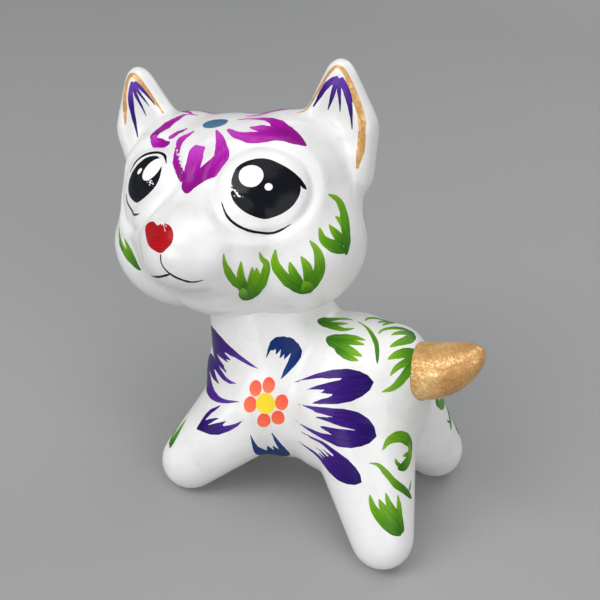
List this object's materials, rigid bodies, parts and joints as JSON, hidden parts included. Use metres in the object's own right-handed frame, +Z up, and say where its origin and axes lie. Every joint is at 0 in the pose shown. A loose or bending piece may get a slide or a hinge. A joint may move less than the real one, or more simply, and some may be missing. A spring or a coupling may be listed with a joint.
{
  "type": "alebrije figure",
  "caption": "Carved wooden kitten standing on splayed legs with its head turned aside, painted white with flowers and leaves, and with a plug-in gold tail.",
  "frame": {"origin": "on the surface that the feet stand on, below the middle of the whole figure's bounding box", "axes": "+Z up, -X towards the chest and +X towards the tail, -Y the kitten's left side and the way its turned head faces"},
  "size_m": [0.1196, 0.0677, 0.1224],
  "materials": {
    "white_paint": "carved soft wood under white acrylic paint and clear gloss varnish, faintly mottled",
    "gold_paint": "carved soft wood under grainy metallic gold paint",
    "bare_wood": "bare whittled soft wood, hidden inside the joints",
    "purple_paint": "brushed acrylic paint under gloss varnish",
    "magenta_paint": "brushed acrylic paint under gloss varnish",
    "blue_paint": "brushed acrylic paint under gloss varnish",
    "green_paint": "brushed acrylic paint under gloss varnish, dark to yellow green",
    "orange_paint": "dabbed acrylic paint under gloss varnish",
    "yellow_paint": "dabbed acrylic paint under gloss varnish",
    "grey_blue_paint": "dabbed acrylic paint under gloss varnish",
    "red_paint": "brushed acrylic paint under gloss varnish",
    "black_paint": "black acrylic paint under gloss varnish"
  },
  "bodies": {
    "figure": {"torso": "white_paint", "head": "white_paint", "left_ear": "white_paint", "right_ear": "white_paint", "front_left_leg": "white_paint", "front_right_leg": "white_paint", "hind_left_leg": "white_paint", "hind_right_leg": "white_paint", "neck_peg": "bare_wood", "left_ear_peg": "bare_wood", "right_ear_peg": "bare_wood", "front_left_leg_peg": "bare_wood", "front_right_leg_peg": "bare_wood", "hind_left_leg_peg": "bare_wood", "hind_right_leg_peg": "bare_wood"},
    "tail_peg": {"tail_peg": "bare_wood"},
    "tail": {"tail": "gold_paint"}
  },
  "joints": [
    {"name": "tail_pull", "type": "slide", "parent": "figure", "child": "tail_peg", "axis": [0.9511, 0, 0.309], "range_m": [0, 0.012]},
    {"name": "tail_turn", "type": "hinge", "parent": "tail_peg", "child": "tail", "pos_m": [0.0436, 0.0034, 0.0482], "axis": [0.9511, 0, 0.309], "continuous": true}
  ]
}
